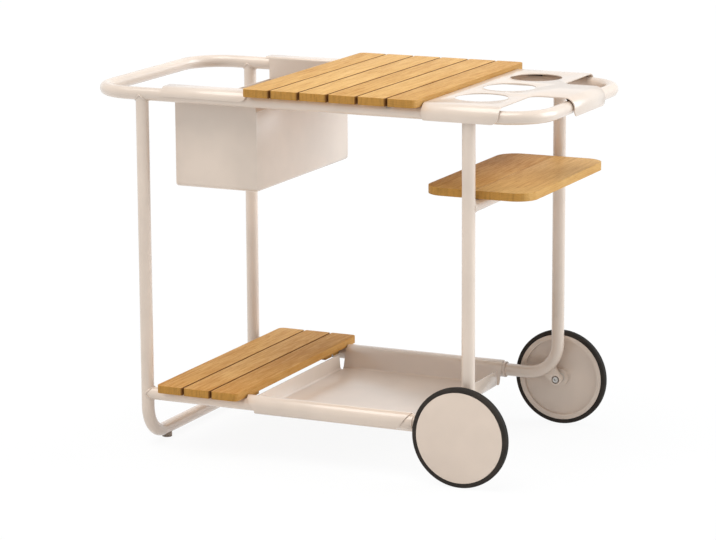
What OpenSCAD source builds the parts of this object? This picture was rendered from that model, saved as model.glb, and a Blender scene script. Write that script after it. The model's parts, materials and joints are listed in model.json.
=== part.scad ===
// Garden drinks trolley: a bent tube frame on two wheels and two glides, with a lift-out
// bucket, a slatted top, a panel with three round holes, a side shelf and a lower deck.
// X runs along the trolley (wheels at +X), Y across it, Z up. The floor is Z = 0.

/* [Frame] */
// Length over the top rail
frame_length = 1060; // [980:2:1300]
// Width over the top rail
frame_width = 538; // [480:2:680]
// Height of the top rail's upper edge above the floor
rail_height = 792; // [700:2:960]
// Outside diameter of the frame tube
tube_d = 28; // [22:0.5:32]
// Wall thickness of the frame tube
tube_wall = 1.5; // [1:0.1:2.5]
// Corner radius of the top rail, on the tube's centre line
rail_corner_r = 90; // [60:1:110]
// Reach of the push handle past the left legs, centre to centre
handle_reach = 125; // [110:1:180]
// Reach of the nose past the right legs, centre to centre
nose_reach = 148; // [120:1:180]
// Height of the lower side rails' centre line
lower_rail_z = 119; // [100:1:180]
// Bend radius between a side rail and its right leg, on the centre line
side_bend_r = 71; // [50:1:90]
// Height of the floor cross tube's centre line
floor_tube_z = 21; // [18:0.5:40]
// Bend radius of the floor cross tube, on the centre line
floor_bend_r = 68; // [50:1:90]
// Gap left for the weld or the glue where one piece is seated on another
weld_gap = 0.1; // [0.05:0.05:0.4]

/* [Glides] */
// Diameter of a glide's foot
glide_d = 22; // [18:1:28]
// Distance from a left leg's centre line to the glide
glide_inset = 84; // [75:1:120]
// Diameter of the stud that holds a glide in the tube
glide_stud_d = 8; // [6:0.5:10]

/* [Wheels] */
// Diameter over the tyre
wheel_d = 214; // [180:2:240]
// Width of the wheel
wheel_width = 16; // [12:1:30]
// Thickness of the tyre, from the wheel out to the tread
tyre_thick = 10; // [7:0.5:17]
// Thickness of the plain cover over the outer face
cover_thick = 2.5; // [2:0.5:4]
// Width of the raised rim round the inner face
wheel_rim_w = 11; // [4:0.5:20]
// Gap between the wheel's web and the cover
web_gap = 2.5; // [1.5:0.5:4]
// Thickness of the wheel's web
web_thick = 3; // [2:0.5:4]
// Diameter of the wheel's hub
hub_d = 40; // [36:1:60]
// Distance that the hub stands proud of the wheel's inner face
hub_proud = 4; // [2:0.5:8]
// Distance from the right leg's centre line back to the axle
axle_setback = 4; // [0:0.5:20]
// Gap between the frame tube and the wheel's inner face
wheel_gap = 11; // [9:0.5:20]
// Axle diameter
axle_d = 8; // [6:1:10]
// Outside diameter of the axle boss on the frame
boss_d = 24; // [23:1:40]
// Inset of the axle boss's inner face from the inner side of the tube
boss_inset = 10; // [4:0.5:11]
// Width of the boss's neck where it meets the tube
neck_w = 30; // [26:1:44]
// Diameter of the axle bolt's head
bolt_head_d = 13; // [12:0.5:16]

/* [Bucket] */
// Length of the bucket box along the trolley
bucket_length = 194.5; // [160:0.5:220]
// Gap between the bucket's box and the left edge of the slatted top
bucket_gap = 1; // [1:0.5:6]
// Depth of the bucket below the top rail's centre line
bucket_depth = 201.5; // [120:0.5:260]
// Distance of the bucket's end rims below the top rail's centre line
bucket_rim_drop = 30; // [20:1:60]
// Length of the flanges that hook over the rail
bucket_flange_length = 202.5; // [160:0.5:230]
// Inset of the flanges' right ends from the bucket's right wall
bucket_flange_inset = 1.5; // [0:0.5:10]
// Radius of the bucket skirts' right lower corners
bucket_skirt_r = 14; // [4:1:18]
// Outer radius of the bucket's long lower edges
bucket_corner_r = 10; // [6:1:20]
// Outer radius of the bucket's short lower edges
bucket_end_r = 6; // [4:1:16]

/* [Sheet parts] */
// Thickness of the sheet metal
sheet = 2.5; // [1.5:0.1:3]
// Gap between the tube and the sheet that hooks over it, filled by the rail pads
hook_gap = 4; // [3:0.5:6]
// Gap between the tube's inner side and a hanging wall
wall_gap = 14; // [6:1:20]
// Radius of the lower corners of the skirts that hook over the rail
skirt_corner_r = 8; // [4:1:12]
// Running gap left under pads and slats where they rest on a tube
rest_gap = 0.3; // [0.2:0.1:0.5]

/* [Slats] */
// Width of a slat
slat_w = 62.8; // [50:0.1:80]
// Gap between two slats
slat_gap = 4; // [1:0.1:6]
// Thickness of a slat
slat_thick = 17; // [12:0.5:22]
// Overhang of the slats past the rail's outer side
slat_overhang = 29; // [10:1:40]
// Overhang of the lower slats past the lower rails' outer side
lower_overhang = 34; // [10:1:40]
// Radius of the slatted panels' outer corners
slat_corner_r = 12; // [6:1:28]
// Distance from the left leg's centre line to the top's left edge
top_slats_start = 260; // [250:1:300]
// Distance from the left leg's centre line to the lower slats' left edge
lower_slats_start = 46.3; // [30:0.1:60]
// Width of a batten under the slats
batten_w = 70; // [30:1:80]
// Thickness of a batten
batten_thick = 14; // [10:0.5:18]
// Distance of the batten ends in from the slatted panel's edge
batten_inset = 15; // [10:1:30]
// Gap between a batten and the inner side of the rail
batten_gap = 3; // [1:0.5:10]
// Core diameter of a slat screw
screw_d = 4; // [3:0.5:5]

/* [Cup panel] */
// Diameter of a cup hole
cup_hole_d = 112; // [70:1:120]
// Distance between cup holes
cup_pitch = 152; // [130:1:160]
// Length of the panel along the trolley, up to the rail's bends
cup_panel_length = 171; // [150:1:186]
// Gap between the slats and the panel
cup_panel_gap = 3.2; // [2:0.1:10]
// Distance of the cup holes' centres from the panel's left edge
cup_hole_inset = 84; // [60:1:100]
// Gap between the top of the tube and the panel, filled by the rail pads
cup_top_gap = 6; // [3:0.5:8]
// Gap between the outer side of the tube and the panel's skirts
cup_side_gap = 3; // [2:0.5:6]
// Width of the tongue that reaches over the end rail
tongue_w = 176; // [120:1:200]
// Inner corner radius at the tongue
tongue_corner_r = 20; // [8:1:30]
// Drop of the side skirts below the rail's centre line
cup_skirt_drop = 13; // [6:1:20]
// Drop of the end skirt below the rail's centre line
end_skirt_drop = 17; // [8:1:26]
// Radius of the side skirts' lower corners at the nose
nose_corner_r = 18; // [8:1:20]
// Radius of the end skirt's lower corners
tongue_skirt_r = 13; // [6:1:20]

/* [Side shelf] */
// Length of the side shelf along the trolley
shelf_length = 241; // [200:1:260]
// Distance from the shelf's ends to the inner side of the legs
shelf_gap = 15; // [8:1:30]
// Thickness of the side shelf
shelf_thick = 17; // [12:1:24]
// Height of the shelf's upper face above the floor
shelf_z = 618; // [500:1:680]
// Corner radius of the side shelf
shelf_corner_r = 45; // [20:1:60]
// Shift of the shelf's centre from the right legs, towards +X
shelf_shift = 2; // [0:0.5:6]
// Glue line between the two shelf boards
glue_line = 0.6; // [0.2:0.1:1]

/* [Tray] */
// Length of the tray
tray_length = 389.3; // [360:0.1:430]
// Gap between the lower slats and the tray
tray_gap = 1; // [1:0.1:6]
// Height of the tray's underside above the floor
tray_z = 89; // [70:1:100]
// Height of the tray's end walls above its underside
tray_end_h = 37; // [25:1:46]
// Outward lean of the tray's side walls, in degrees from upright
tray_wall_lean = 17; // [4:1:24]
// Drop of the tray's skirts below the lower rail's centre line
tray_skirt_drop = 12; // [8:1:13]
// Slope of the skirts' slanted ends, in mm from the top to the bottom of the skirt
tray_skirt_slant = 26; // [8:1:32]
// Inset of the side walls' ends from the tray's ends
tray_flange_inset = 2; // [1:1:18]
// Inner bend radius along the tray's floor
tray_bend_r = 5; // [3:0.5:8]
// Open notch at each corner of the tray, along the foot of the end wall
tray_notch = 13.5; // [9:0.5:20]
// Extra width of that notch at the rim
tray_notch_flare = 5; // [2:1:24]
// Length of the sleeves on the lower rails that the tray's right end rests on
sleeve_length = 38; // [20:1:60]
// Reach of the sleeves past the tray's right end
sleeve_reach = 4; // [1:1:10]

/* [Hidden] */
top_slats = 6;
lower_slats = 3;

$fn = 72;
eps = 0.01;

// Frame lines. The end skirt of the cup panel reaches past the rail, so the whole trolley
// is set back by half of that and its overall box is centred on the origin
set_back = (cup_side_gap + sheet) / 2;
tube_r = tube_d / 2;
rail_x = frame_length / 2 - tube_r;
rail_y = frame_width / 2 - tube_r;
rail_z = rail_height - tube_r;
left_leg_x = -rail_x + handle_reach;
right_leg_x = rail_x - nose_reach;

// Sheet that hooks over a tube
hook_in_r = tube_r + hook_gap;
hook_out_r = hook_in_r + sheet;
cup_in_r = tube_r + cup_top_gap;
cup_out_r = cup_in_r + sheet;
cup_shift = cup_top_gap - cup_side_gap;
wall_y = rail_y - tube_r - wall_gap;
fold_r = 3;
pad_half_angle = 38;
pad_length = 34;
pad_inset = 26;

// Wheels
wheel_r = wheel_d / 2;
wheel_face_d = wheel_d - 2 * tyre_thick;
wheel_rim_inner_d = wheel_face_d - 2 * wheel_rim_w;
axle_x = right_leg_x - axle_setback;
axle_z = wheel_r;
wheel_y = rail_y + tube_r + wheel_gap;
bush_wall = 6;
bush_flange_d = 24;
bush_flange_t = 2;
running_gap = 0.05;
side_play = 0.3;
bolt_head_h = 8;
counterbore_d = bolt_head_d + 5;
hex_key = 6;
hex_depth = 4;
nut_af = 13;
nut_h = 6;
hub_y = wheel_y - hub_proud;
boss_y = rail_y - tube_r + boss_inset;
boss_end_y = hub_y - bush_flange_t - side_play - 2;
cover_y = wheel_y + wheel_width - cover_thick;
web_y = cover_y - web_gap - web_thick;
nut_pocket_y = cover_y - nut_h - side_play;

// Slatted panels
slat_pitch = slat_w + slat_gap;
slat_y = rail_y + tube_r + slat_overhang;
lower_slat_y = rail_y + tube_r + lower_overhang;
top_x = left_leg_x + top_slats_start;
top_end_x = top_x + top_slats * slat_pitch - slat_gap;
lower_x = left_leg_x + lower_slats_start;
lower_end_x = lower_x + lower_slats * slat_pitch - slat_gap;
top_slat_z = rail_z + tube_r + rest_gap;
lower_slat_z = lower_rail_z + tube_r + rest_gap;
batten_y = rail_y - tube_r - batten_gap;
screw_head_d = 8;
screw_head_h = 3;
screw_bite = slat_thick - 5;

// Bucket
bucket_end_x = top_x - bucket_gap;
bucket_start_x = bucket_end_x - bucket_length;
bucket_flange_end_x = bucket_end_x - bucket_flange_inset;
bucket_flange_x = bucket_flange_end_x - bucket_flange_length;
bucket_floor_z = rail_z - bucket_depth;
bucket_skirt_drop = 0.5;

// Cup panel
cup_x = top_end_x + cup_panel_gap;
cup_end_x = cup_x + cup_panel_length;
cup_hole_x = cup_x + cup_hole_inset;

// Side shelf
shelf_x = right_leg_x + shelf_shift - shelf_length / 2;
shelf_y = rail_y - tube_r - shelf_gap;
shelf_tube_z = shelf_z - shelf_thick - tube_r - weld_gap;
shelf_screws_at = [for (i = [0:3])
    [right_leg_x + (abs(i - 1.5) > 1 ? -7 : 7), (i - 1.5) * (shelf_y - 60) / 1.5]];
shelf_screw_d = 5;

// Tray
tray_x = lower_end_x + tray_gap;
tray_end_x = tray_x + tray_length;
tray_corner_r = tray_bend_r + sheet;
tray_bend_z = tray_z + tray_corner_r;
tray_wall_l = (lower_rail_z - tray_bend_z + (hook_in_r + tray_corner_r) * sin(tray_wall_lean))
    / cos(tray_wall_lean);
tray_bend_y = rail_y - (hook_in_r + tray_corner_r) * cos(tray_wall_lean)
    - tray_wall_l * sin(tray_wall_lean);

// Colours
powder = "#d2c2b4";
teak = "#e2b680";
teak_dark = "#c0935c";
steel = "#b8b8b4";
rubber = "#2d2a28";
taupe = "#a08c7c";

// ---------------------------------------------------------------- helpers

module along_x(x0, x1, d) {
    translate([x0, 0, 0]) rotate([0, 90, 0]) cylinder(d = d, h = x1 - x0);
}

module along_y(y0, y1, d) {
    translate([0, y0, 0]) rotate([-90, 0, 0]) cylinder(d = d, h = y1 - y0);
}

// A quarter of a torus about +Z, from +X round to +Y, on a circle of radius r
module quarter_bend(r, d) {
    rotate_extrude(angle = 90) translate([r, 0]) circle(d = d);
}

// A body turned to face the front (-Y) or the back (+Y)
module at_side(side) {
    if (side < 0) mirror([0, 1, 0]) children();
    else children();
}

// Ring sector in 2D between two radii and two angles no more than 180 degrees apart
module ring_sector(r_in, r_out, a0, a1) {
    reach = 2 * r_out;
    mid = (a0 + a1) / 2;
    intersection() {
        difference() {
            circle(r = r_out);
            circle(r = r_in);
        }
        polygon([[0, 0],
                 [reach * cos(a0), reach * sin(a0)],
                 [reach * cos(mid), reach * sin(mid)] * 1.5,
                 [reach * cos(a1), reach * sin(a1)]]);
    }
}

// A shape drawn in (y, z) and pulled along X
module pull_x(x0, x1) {
    translate([x0, 0, 0]) rotate([90, 0, 90]) linear_extrude(height = x1 - x0) children();
}

// A shape drawn in (x, z) and pulled along Y
module pull_y(y0, y1) {
    translate([0, y1, 0]) rotate([90, 0, 0]) linear_extrude(height = y1 - y0) children();
}

// ---------------------------------------------------------------- frame

module top_rail_path(d) {
    rx = rail_x - rail_corner_r;
    ry = rail_y - rail_corner_r;
    for (s = [-1, 1]) {
        translate([0, s * rail_y, 0]) along_x(-rx, rx, d);
        translate([s * rail_x, 0, 0]) along_y(-ry, ry, d);
    }
    translate([rx, ry, 0]) quarter_bend(rail_corner_r, d);
    translate([-rx, ry, 0]) rotate([0, 0, 90]) quarter_bend(rail_corner_r, d);
    translate([-rx, -ry, 0]) rotate([0, 0, 180]) quarter_bend(rail_corner_r, d);
    translate([rx, -ry, 0]) rotate([0, 0, 270]) quarter_bend(rail_corner_r, d);
}

// Vent holes under the rail let the tubes breathe into the legs while they are welded
vent_d = 8;

module top_rail() {
    color(powder) translate([0, 0, rail_z]) difference() {
        top_rail_path(tube_d);
        top_rail_path(tube_d - 2 * tube_wall);
        for (x = [left_leg_x, right_leg_x], y = [-rail_y, rail_y])
            translate([x, y, -tube_d]) cylinder(d = vent_d, h = tube_d);
    }
}

module rail_saddle_cut() {
    for (s = [-1, 1])
        translate([0, s * rail_y, rail_z])
            along_x(-frame_length, frame_length, tube_d + 2 * weld_gap);
}

module left_leg_path(d) {
    ry = rail_y - floor_bend_r;
    z0 = floor_tube_z + floor_bend_r;
    for (s = [-1, 1])
        translate([0, s * rail_y, z0]) cylinder(d = d, h = rail_z - z0);
    translate([0, 0, floor_tube_z]) along_y(-ry, ry, d);
    for (s = [-1, 1]) at_side(s)
        translate([0, ry, z0]) rotate([0, 90, 0]) quarter_bend(floor_bend_r, d);
}

module left_leg_frame() {
    color(powder) difference() {
        translate([left_leg_x, 0, 0]) left_leg_path(tube_d);
        translate([left_leg_x, 0, 0]) left_leg_path(tube_d - 2 * tube_wall);
        rail_saddle_cut();
        for (s = [-1, 1])
            translate([left_leg_x, s * (rail_y - glide_inset), -eps])
                cylinder(d = glide_stud_d + 0.2, h = floor_tube_z);
    }
}

module side_frame_path(d) {
    bx = right_leg_x - side_bend_r;
    z0 = lower_rail_z + side_bend_r;
    translate([0, 0, lower_rail_z]) along_x(left_leg_x, bx, d);
    translate([bx, 0, z0]) rotate([90, 90, 0]) quarter_bend(side_bend_r, d);
    translate([right_leg_x, 0, z0]) cylinder(d = d, h = rail_z - z0);
}

module side_frame(side) {
    color(powder) difference() {
        translate([0, side * rail_y, 0]) side_frame_path(tube_d);
        translate([0, side * rail_y, 0]) side_frame_path(tube_d - 2 * tube_wall);
        rail_saddle_cut();
        translate([left_leg_x, side * rail_y, 0])
            cylinder(d = tube_d + 2 * weld_gap, h = rail_z);
    }
}

module shelf_cross_tube() {
    color(powder) difference() {
        translate([right_leg_x, 0, shelf_tube_z]) along_y(-rail_y, rail_y, tube_d);
        translate([right_leg_x, 0, shelf_tube_z])
            along_y(-rail_y, rail_y, tube_d - 2 * tube_wall);
        for (s = [-1, 1])
            translate([right_leg_x, s * rail_y, 0])
                cylinder(d = tube_d + 2 * weld_gap, h = rail_z);
        for (p = shelf_screws_at)
            translate([p[0], p[1], shelf_tube_z - tube_d])
                cylinder(d = shelf_screw_d + 0.4, h = 2 * tube_d);
    }
}

// The boss has a neck that reaches the bend, where it is welded
module axle_boss(side) {
    bend_x = right_leg_x - side_bend_r;
    bend_z = lower_rail_z + side_bend_r;
    lean = atan2(bend_z - axle_z, bend_x - axle_x);
    neck_l = norm([bend_x - axle_x, bend_z - axle_z]) - side_bend_r - tube_r / 3;
    neck_t = tube_r;
    color(powder) at_side(side) difference() {
        translate([axle_x, 0, axle_z]) union() {
            along_y(boss_y, boss_end_y, boss_d);
            rotate([0, -lean, 0]) pull_y(boss_y, boss_y + neck_t)
                polygon([[0, -boss_d / 2], [neck_l, -neck_w / 2], [neck_l, neck_w / 2],
                         [0, boss_d / 2]]);
        }
        translate([axle_x, 0, axle_z])
            along_y(boss_y - 1, boss_end_y + 1, axle_d + 2 * running_gap);
        translate([axle_x, 0, axle_z])
            along_y(boss_y - 1, boss_y + bolt_head_h + 0.5, counterbore_d);
        translate([0, rail_y, 0]) side_frame_path(tube_d + 2 * weld_gap);
    }
}

module glide(side) {
    gy = side * (rail_y - glide_inset);
    color(taupe) {
        difference() {
            translate([left_leg_x, gy, 0]) cylinder(d = glide_d, h = floor_tube_z);
            translate([left_leg_x, 0, floor_tube_z])
                along_y(-rail_y, rail_y, tube_d + 2 * weld_gap);
        }
        translate([left_leg_x, gy, 1])
            cylinder(d = glide_stud_d, h = floor_tube_z - tube_r + tube_wall + 5);
    }
}

// ---------------------------------------------------------------- axle and wheel

module axle_bolt(side) {
    color(steel) at_side(side) translate([axle_x, 0, axle_z]) difference() {
        union() {
            along_y(boss_y + 0.5, boss_y + bolt_head_h + 0.5, bolt_head_d);
            along_y(boss_y + bolt_head_h, cover_y - 2 * side_play, axle_d);
        }
        translate([0, boss_y + 0.4, 0]) rotate([-90, 0, 0])
            cylinder(d = hex_key, h = hex_depth, $fn = 6);
    }
}

module hub_spacer(side) {
    color(steel) at_side(side) translate([axle_x, 0, axle_z]) difference() {
        along_y(boss_end_y, boss_end_y + 2, bush_flange_d);
        along_y(boss_end_y - 1, boss_end_y + 3, axle_d + 2 * running_gap);
    }
}

module wheel(side) {
    nut_pocket_d = hub_d - 2 * bush_wall;
    color(powder) at_side(side) translate([axle_x, 0, axle_z]) difference() {
        union() {
            difference() {
                along_y(wheel_y, cover_y, wheel_face_d);
                along_y(wheel_y - 1, cover_y + 1, wheel_rim_inner_d);
            }
            along_y(web_y, web_y + web_thick, wheel_rim_inner_d);
            along_y(hub_y, cover_y, hub_d);
        }
        along_y(hub_y - 1, cover_y + 1, axle_d + 2 * bush_wall);
        along_y(nut_pocket_y, cover_y + 1, nut_pocket_d);
    }
}

module tyre(side) {
    shoulder = 3.5;
    color(rubber) at_side(side) translate([axle_x, 0, axle_z]) rotate([-90, 0, 0])
        rotate_extrude() union() {
            translate([wheel_face_d / 2, wheel_y])
                square([wheel_r - wheel_face_d / 2 - shoulder, wheel_width]);
            translate([wheel_r - 2 * shoulder, wheel_y + shoulder])
                square([2 * shoulder, wheel_width - 2 * shoulder]);
            for (y = [wheel_y + shoulder, wheel_y + wheel_width - shoulder])
                translate([wheel_r - shoulder, y]) circle(r = shoulder);
        }
}

module wheel_cover(side) {
    snap_w = 2;
    snap_y = web_y + web_thick;
    color(powder) at_side(side) translate([axle_x, 0, axle_z]) union() {
        along_y(cover_y, cover_y + cover_thick, wheel_face_d - 0.4);
        difference() {
            along_y(snap_y + side_play, cover_y + 0.5, wheel_rim_inner_d - 0.2);
            along_y(snap_y, cover_y + 1, wheel_rim_inner_d - 0.2 - 2 * snap_w);
        }
    }
}

module hub_bushes(side) {
    color("#e8e4da") at_side(side) translate([axle_x, 0, axle_z]) difference() {
        union() {
            along_y(hub_y - bush_flange_t, hub_y, bush_flange_d);
            along_y(hub_y - eps, nut_pocket_y, axle_d + 2 * bush_wall - 2 * running_gap);
        }
        along_y(hub_y - bush_flange_t - 1, nut_pocket_y + 1, axle_d + 2 * running_gap);
        translate([0, (hub_y + nut_pocket_y) / 2 - 0.5, 0]) along_y(0, 1, hub_d);
    }
}

module axle_nut(side) {
    color(steel) at_side(side) translate([axle_x, nut_pocket_y + side_play, axle_z])
        rotate([-90, 0, 0]) difference() {
            union() {
                cylinder(d = nut_af / cos(30), h = nut_h - 1, $fn = 6);
                cylinder(d = nut_af + 4, h = 1.5);
            }
            translate([0, 0, -1]) cylinder(d = axle_d + 2 * running_gap, h = nut_h + 2);
        }
}

// ---------------------------------------------------------------- slatted panels

module rounded_box(x0, x1, y0, y1, z0, z1, r) {
    translate([0, 0, z0]) linear_extrude(height = z1 - z0) union() {
        translate([x0 + r, y0]) square([x1 - x0 - 2 * r, y1 - y0]);
        translate([x0, y0 + r]) square([x1 - x0, y1 - y0 - 2 * r]);
        for (x = [x0 + r, x1 - r], y = [y0 + r, y1 - r]) translate([x, y]) circle(r = r);
    }
}

module slat(index, count, x0, z0, half_y) {
    start = x0 + (index - 1) * slat_pitch;
    end_x = x0 + count * slat_pitch - slat_gap;
    color(teak) intersection() {
        rounded_box(x0, end_x, -half_y, half_y, z0, z0 + slat_thick, slat_corner_r);
        translate([start, -half_y, z0]) cube([slat_w, 2 * half_y, slat_thick]);
    }
}

function screw_places(count, x0) =
    [for (i = [0:count - 1], s = [0.25, 0.75], side = [-1, 1])
        [x0 + i * slat_pitch + s * slat_w, side * (batten_y - batten_w / 2)]];

module batten(side, x0, x1, z0, places) {
    y0 = side < 0 ? -batten_y : batten_y - batten_w;
    color(teak_dark) difference() {
        translate([x0 + batten_inset, y0, z0 - batten_thick])
            cube([x1 - x0 - 2 * batten_inset, batten_w, batten_thick]);
        for (p = places) if (p[1] * side > 0) {
            translate([p[0], p[1], z0 - batten_thick - 1])
                cylinder(d = screw_d + 0.2, h = batten_thick + 2);
            translate([p[0], p[1], z0 - batten_thick - 1])
                cylinder(d = screw_head_d + 0.4, h = screw_head_h + 1.2);
        }
    }
}

module slat_screws(places, z0) {
    color(steel) for (p = places) translate([p[0], p[1], z0 - batten_thick]) {
        translate([0, 0, 0.2]) cylinder(d = screw_head_d, h = screw_head_h);
        translate([0, 0, 1]) cylinder(d = screw_d, h = batten_thick - 1 + screw_bite);
    }
}

// The slats' pilot holes take the screws
module drilled_slat(index, count, x0, z0, half_y) {
    color(teak) difference() {
        slat(index, count, x0, z0, half_y);
        for (p = screw_places(count, x0))
            if (abs(p[0] - (x0 + (index - 0.5) * slat_pitch)) < slat_w / 2)
                translate([p[0], p[1], z0 - 1])
                    cylinder(d = screw_d + 0.2, h = screw_bite + 1.2);
    }
}

// ---------------------------------------------------------------- sheet parts

// Section through the bucket's hook over the top rail: fold, shelf, curl and skirt
module bucket_hook_section() {
    top = rail_z + hook_out_r;
    translate([rail_y, rail_z]) ring_sector(hook_in_r, hook_out_r, 0, 90);
    translate([rail_y + hook_in_r, rail_z - bucket_skirt_drop])
        square([sheet, bucket_skirt_drop]);
    translate([wall_y + fold_r, top - sheet]) square([rail_y - wall_y - fold_r, sheet]);
    translate([wall_y + fold_r, top - sheet - fold_r])
        ring_sector(fold_r, fold_r + sheet, 90, 180);
}

// Section through the wall that hangs from that fold
module bucket_wall_section(bottom_z) {
    translate([wall_y - sheet, bottom_z])
        square([sheet, rail_z + hook_out_r - sheet - fold_r - bottom_z]);
}

// A skirt's outline in its own plane: u along the rail, v up, its two lower corners rounded
module skirt_outline(u0, u1, v0, v1, r0, r1) {
    translate([u0 + r0, v0]) square([u1 - u0 - r0 - r1, v1 - v0]);
    translate([u0, v0 + r0]) square([r0 + eps, v1 - v0 - r0]);
    translate([u1 - r1 - eps, v0 + r1]) square([r1 + eps, v1 - v0 - r1]);
    translate([u0 + r0, v0 + r0]) circle(r = r0);
    translate([u1 - r1, v0 + r1]) circle(r = r1);
}

// Pad between the hooked sheet and the tube
module rail_pad(x) {
    pull_x(x, x + pad_length)
        ring_sector(tube_r + rest_gap, hook_in_r - weld_gap,
                    90 - pad_half_angle, 90 + pad_half_angle);
}

// Block with its lower edges rounded: the long ones by r_long, the short ones by r_short
module rounded_bin(x0, x1, half_y, z0, z1, r_long, r_short) {
    intersection() {
        pull_x(x0, x1) {
            translate([-half_y, z0 + r_long]) square([2 * half_y, z1 - z0 - r_long]);
            translate([-half_y + r_long, z0]) square([2 * (half_y - r_long), r_long + eps]);
            for (s = [-1, 1]) translate([s * (half_y - r_long), z0 + r_long]) circle(r = r_long);
        }
        pull_y(-half_y, half_y) {
            translate([x0, z0 + r_short]) square([x1 - x0, z1 - z0 - r_short]);
            translate([x0 + r_short, z0]) square([x1 - x0 - 2 * r_short, r_short + eps]);
            for (x = [x0 + r_short, x1 - r_short]) translate([x, z0 + r_short]) circle(r = r_short);
        }
    }
}

module bucket() {
    rim_z = rail_z - bucket_rim_drop;
    skirt_z = rail_z - bucket_skirt_drop;
    color(powder) union() {
        // box, open at the top
        difference() {
            rounded_bin(bucket_start_x, bucket_end_x, wall_y, bucket_floor_z, rim_z,
                        bucket_corner_r, bucket_end_r);
            rounded_bin(bucket_start_x + sheet, bucket_end_x - sheet, wall_y - sheet,
                        bucket_floor_z + sheet, rim_z + 1,
                        bucket_corner_r - sheet, bucket_end_r - sheet);
        }
        for (s = [-1, 1]) scale([1, s, 1]) {
            pull_x(bucket_start_x, bucket_flange_end_x) bucket_wall_section(rim_z - eps);
            // hooks, with rounded lower corners on the skirts
            intersection() {
                pull_x(bucket_flange_x, bucket_flange_end_x) bucket_hook_section();
                union() {
                    translate([bucket_flange_x, 0, rim_z])
                        cube([bucket_flange_length, rail_y, bucket_depth]);
                    pull_y(rail_y - 1, slat_y)
                        skirt_outline(bucket_flange_x, bucket_flange_end_x, skirt_z,
                                      rail_z + hook_out_r + 1, skirt_corner_r, bucket_skirt_r);
                }
            }
        }
    }
}

module bucket_pads() {
    places = [bucket_flange_x + pad_inset, bucket_flange_end_x - pad_inset - pad_length];
    color(rubber) for (s = [-1, 1], x = places) translate([0, s * rail_y, rail_z]) rail_pad(x);
}

// Plan of the panel with its tongue and rounded inner corners
module cup_panel_plan() {
    r = tongue_corner_r;
    half_y = rail_y - cup_shift;
    difference() {
        translate([cup_x, -half_y]) square([rail_x - cup_shift - cup_x, 2 * half_y]);
        for (s = [-1, 1]) scale([1, s]) {
            translate([cup_end_x + r, tongue_w / 2]) square([rail_x, rail_y]);
            translate([cup_end_x, tongue_w / 2 + r]) square([rail_x, rail_y]);
            translate([cup_end_x + r, tongue_w / 2 + r]) circle(r = r);
        }
        for (i = [-1:1]) translate([cup_hole_x, i * cup_pitch]) circle(d = cup_hole_d);
    }
}

// Curl and skirt of the panel over one rail, drawn about the rail's axis
module cup_hook_section(skirt_drop) {
    translate([-cup_shift, 0]) ring_sector(cup_in_r, cup_out_r, 0, 90);
    translate([cup_in_r - cup_shift, -skirt_drop]) square([sheet, skirt_drop]);
}

module cup_panel() {
    top = rail_z + cup_out_r;
    color(powder) union() {
        translate([0, 0, top - sheet]) linear_extrude(height = sheet) cup_panel_plan();
        for (s = [-1, 1]) scale([1, s, 1]) intersection() {
            pull_x(cup_x, cup_end_x)
                translate([rail_y, rail_z]) cup_hook_section(cup_skirt_drop);
            pull_y(0, slat_y)
                skirt_outline(cup_x, cup_end_x, rail_z - cup_skirt_drop, top,
                              skirt_corner_r, nose_corner_r);
        }
        intersection() {
            pull_y(-tongue_w / 2, tongue_w / 2)
                translate([rail_x, rail_z]) cup_hook_section(end_skirt_drop);
            pull_x(0, frame_length) skirt_outline(-tongue_w / 2, tongue_w / 2,
                rail_z - end_skirt_drop, top, tongue_skirt_r, tongue_skirt_r);
        }
    }
}

// Section of a pad between the tube and the panel's underside
module cup_pad_section() {
    r = cup_in_r - weld_gap;
    intersection() {
        ring_sector(tube_r + rest_gap, 2 * cup_out_r, 90 - pad_half_angle, 90 + pad_half_angle);
        union() {
            translate([-cup_shift, 0]) circle(r = r);
            translate([-cup_out_r, 0]) square([cup_out_r - cup_shift, r]);
        }
    }
}

module cup_panel_pads() {
    color(rubber) {
        for (s = [-1, 1], x = [cup_x + pad_inset, cup_end_x - pad_inset - pad_length])
            scale([1, s, 1]) translate([0, rail_y, rail_z])
                pull_x(x, x + pad_length) cup_pad_section();
        for (s = [-1, 1]) translate([rail_x, s * tongue_w / 4, rail_z])
            pull_y(-pad_length / 2, pad_length / 2) cup_pad_section();
    }
}

module tray_end_wall(x, inner_side) {
    low = tray_bend_y - tray_notch;
    high = low - tray_notch_flare;
    wall_x = inner_side > 0 ? x : x - sheet;
    pull_x(wall_x, wall_x + sheet)
        polygon([[-low, tray_bend_z], [low, tray_bend_z], [high, tray_z + tray_end_h],
                 [-high, tray_z + tray_end_h]]);
    translate([x + inner_side * tray_corner_r, 0, tray_bend_z])
        pull_y(-low, low) scale([inner_side, 1])
            ring_sector(tray_corner_r - sheet, tray_corner_r, 180, 270);
}

// Section through a side wall: floor bend, leaning wall and the curl over the rail
module tray_side_section() {
    out = [cos(tray_wall_lean), -sin(tray_wall_lean)];
    up = [sin(tray_wall_lean), cos(tray_wall_lean)];
    rail = [rail_y, lower_rail_z];
    bend = [tray_bend_y, tray_bend_z];
    reach = sheet / 4;
    translate(bend) ring_sector(tray_corner_r - sheet, tray_corner_r, -90, -tray_wall_lean);
    // the flat wall's two ends reach a little way inside the bends
    polygon([bend + tray_corner_r * out, rail - hook_in_r * out,
             rail - (hook_in_r + sheet / 2) * out + reach * up, rail - hook_out_r * out,
             bend + (tray_corner_r - sheet) * out,
             bend + (tray_corner_r - sheet / 2) * out - reach * up]);
    translate(rail) ring_sector(hook_in_r, hook_out_r, 0, 180 - tray_wall_lean);
}

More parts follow.
